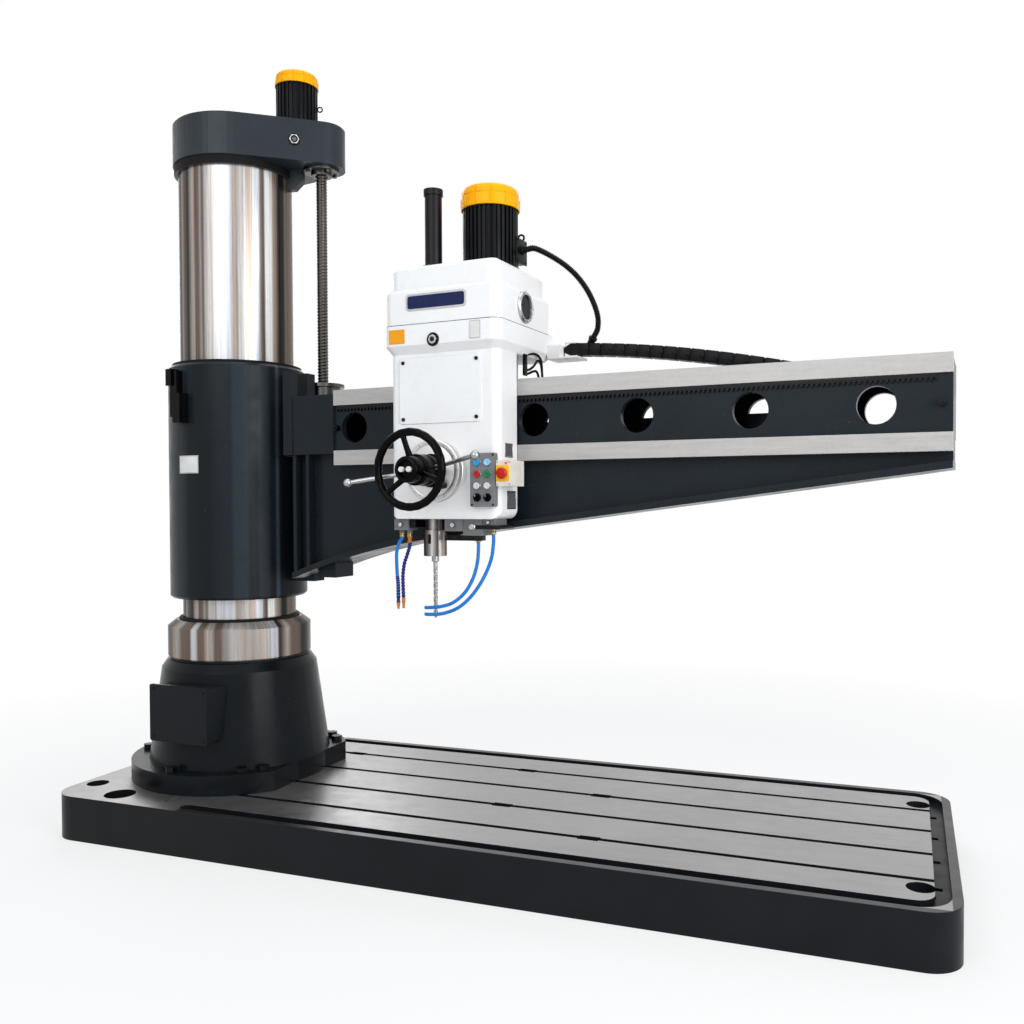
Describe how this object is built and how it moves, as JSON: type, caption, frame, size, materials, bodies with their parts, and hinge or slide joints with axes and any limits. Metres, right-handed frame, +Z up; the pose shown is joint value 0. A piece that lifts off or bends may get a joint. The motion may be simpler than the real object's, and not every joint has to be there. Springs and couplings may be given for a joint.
{
  "type": "radial arm drill",
  "caption": "Floor-standing radial arm drill with slotted base table, turning column, lifting arm, travelling head with handwheel, levers, push-buttons and coolant hoses.",
  "frame": {"origin": "column axis at the base's underside on the floor", "axes": "+X along the base table away from the column, +Y to the back of the machine, +Z up"},
  "size_m": [3.945, 1.4014, 3.708],
  "materials": {
    "table_iron": "machined table and painted sides, dark blue-grey",
    "grey_paint": "dark blue-grey machine enamel, semi-gloss",
    "box_paint": "dark grey enamel, satin",
    "white_paint": "white machine enamel, semi-gloss",
    "orange_paint": "yellow-orange enamel, semi-gloss",
    "column_steel": "ground steel with vertical marks and an oil film",
    "way_steel": "scraped and ground cast way, pale",
    "ring_steel": "turned steel",
    "dark_steel": "oiled dark steel",
    "black_steel": "blackened steel",
    "bronze": "bearing bronze",
    "motor_black": "black ribbed motor body",
    "spindle_steel": "ground spindle steel",
    "black_plastic": "black moulded plastic",
    "chain_plastic": "black cable chain links",
    "conduit_plastic": "black ribbed conduit",
    "blue_hose": "blue flexible hose",
    "navy_plastic": "dark blue jointed hose segments",
    "panel_grey": "grey button panel",
    "glass": "sight glass in a steel ring",
    "rubber_black": "black wiper rubber",
    "blue_button": "blue push-button",
    "pale_blue_button": "pale blue push-button",
    "red_button": "red push-button",
    "green_button": "green push-button",
    "white_button": "white push-button",
    "yellow_plastic": "yellow stop-button box"
  },
  "bodies": {
    "base": {"base": "table_iron", "pedestal": "grey_paint", "pedestal_bolts": "black_steel", "switch_box": "box_paint", "switch_box_cover": "box_paint", "inner_column": "dark_steel", "column_bearings": "bronze"},
    "column": {"outer_column": "column_steel", "column_ring": "ring_steel", "guide_key": "dark_steel", "top_housing": "grey_paint", "screw_bearing": "dark_steel", "lift_motor": "motor_black", "lift_motor_cowl": "orange_paint"},
    "screw": {"elevating_screw": "dark_steel"},
    "arm": {"arm_casting": "grey_paint", "upper_way": "way_steel", "lower_way": "way_steel", "traverse_rack": "dark_steel", "lift_nut": "dark_steel", "end_stops": "black_steel", "limit_switch": "black_plastic", "sleeve_wiper": "rubber_black", "cable_tray": "grey_paint"},
    "head": {"head_casting": "white_paint", "gearbox_cover": "white_paint", "guide_shoes": "way_steel", "front_plate": "white_paint", "head_screws": "black_steel", "main_motor": "motor_black", "main_motor_cowl": "orange_paint", "terminal_box": "motor_black", "motor_conduit": "conduit_plastic", "guard_tube": "black_steel", "sight_glasses": "glass", "chain_bracket": "white_paint", "cable_chain": "chain_plastic", "push_panel": "panel_grey", "stop_box": "yellow_plastic", "hose_fittings": "spindle_steel", "jointed_nozzle": "navy_plastic", "air_hose": "blue_hose", "coolant_hose_upper": "blue_hose", "coolant_hose_lower": "blue_hose"},
    "quill": {"quill": "spindle_steel"},
    "spindle": {"spindle": "spindle_steel", "drill": "dark_steel"},
    "feed": {"feed_levers": "dark_steel"},
    "wheel": {"handwheel": "black_plastic"},
    "clamp_button": {"clamp_button": "white_button"},
    "release_button": {"release_button": "white_button"},
    "selector_left": {"selector_left": "black_plastic"},
    "selector_right": {"selector_right": "black_plastic"},
    "stop_button": {"stop_button": "red_button"},
    "button_a": {"button_a": "blue_button"},
    "button_b": {"button_b": "pale_blue_button"},
    "button_c": {"button_c": "red_button"},
    "button_d": {"button_d": "green_button"},
    "button_e": {"button_e": "white_button"},
    "button_f": {"button_f": "white_button"}
  },
  "joints": [
    {"name": "column_swing", "type": "hinge", "parent": "base", "child": "column", "pos_m": [0, 0, 0], "axis": [0, 0, 1], "range_deg": [-180, 180]},
    {"name": "arm_lift", "type": "slide", "parent": "column", "child": "arm", "axis": [0, 0, 1], "range_m": [-0.09, 0.87]},
    {"name": "screw_turn", "type": "hinge", "parent": "column", "child": "screw", "pos_m": [0.43701, 0.10734, 2.5], "axis": [0, 0, 1], "continuous": true},
    {"name": "head_traverse", "type": "slide", "parent": "arm", "child": "head", "axis": [0.9973, -0.0732, 0], "range_m": [-0.34, 1.66]},
    {"name": "wheel_turn", "type": "hinge", "parent": "head", "child": "wheel", "pos_m": [1.34725, -0.66044, 1.69], "axis": [-0.0732, -0.9973, 0], "continuous": true},
    {"name": "quill_feed", "type": "slide", "parent": "head", "child": "quill", "axis": [0, 0, -1], "range_m": [0, 0.45]},
    {"name": "feed_lever_turn", "type": "hinge", "parent": "head", "child": "feed", "pos_m": [1.34725, -0.66044, 1.69], "axis": [-0.0732, -0.9973, 0], "continuous": true},
    {"name": "spindle_turn", "type": "hinge", "parent": "quill", "child": "spindle", "pos_m": [1.29127, -0.33046, 1.4], "axis": [0, 0, 1], "continuous": true},
    {"name": "button_a_press", "type": "slide", "parent": "head", "child": "button_a", "axis": [0.0732, 0.9973, 0], "range_m": [0, 0.004], "stiffness_N_per_m": 600, "springref_m": -0.002},
    {"name": "button_b_press", "type": "slide", "parent": "head", "child": "button_b", "axis": [0.0732, 0.9973, 0], "range_m": [0, 0.004], "stiffness_N_per_m": 600, "springref_m": -0.002},
    {"name": "button_c_press", "type": "slide", "parent": "head", "child": "button_c", "axis": [0.0732, 0.9973, 0], "range_m": [0, 0.004], "stiffness_N_per_m": 600, "springref_m": -0.002},
    {"name": "button_d_press", "type": "slide", "parent": "head", "child": "button_d", "axis": [0.0732, 0.9973, 0], "range_m": [0, 0.004], "stiffness_N_per_m": 600, "springref_m": -0.002},
    {"name": "button_e_press", "type": "slide", "parent": "head", "child": "button_e", "axis": [0.0732, 0.9973, 0], "range_m": [0, 0.004], "stiffness_N_per_m": 600, "springref_m": -0.002},
    {"name": "button_f_press", "type": "slide", "parent": "head", "child": "button_f", "axis": [0.0732, 0.9973, 0], "range_m": [0, 0.004], "stiffness_N_per_m": 600, "springref_m": -0.002},
    {"name": "clamp_button_press", "type": "slide", "parent": "wheel", "child": "clamp_button", "axis": [0.0732, 0.9973, 0], "range_m": [0, 0.003], "stiffness_N_per_m": 600, "springref_m": -0.002},
    {"name": "release_button_press", "type": "slide", "parent": "wheel", "child": "release_button", "axis": [0.0732, 0.9973, 0], "range_m": [0, 0.003], "stiffness_N_per_m": 600, "springref_m": -0.002},
    {"name": "stop_button_press", "type": "slide", "parent": "head", "child": "stop_button", "axis": [0.0732, 0.9973, 0], "range_m": [0, 0.006], "stiffness_N_per_m": 1200, "springref_m": -0.002},
    {"name": "selector_left_turn", "type": "hinge", "parent": "head", "child": "selector_left", "pos_m": [1.55248, -0.45994, 1.578], "axis": [-0.0732, -0.9973, 0], "range_deg": [-45, 45]},
    {"name": "selector_right_turn", "type": "hinge", "parent": "head", "child": "selector_right", "pos_m": [1.60035, -0.46345, 1.578], "axis": [-0.0732, -0.9973, 0], "range_deg": [-45, 45]}
  ],
  "couplings": [
    {"joint": "screw_turn", "follows": "arm_lift", "rad_per_m": 392.7},
    {"joint": "wheel_turn", "follows": "head_traverse", "rad_per_m": 62.832},
    {"joint": "feed_lever_turn", "follows": "quill_feed", "rad_per_m": 26.178}
  ]
}
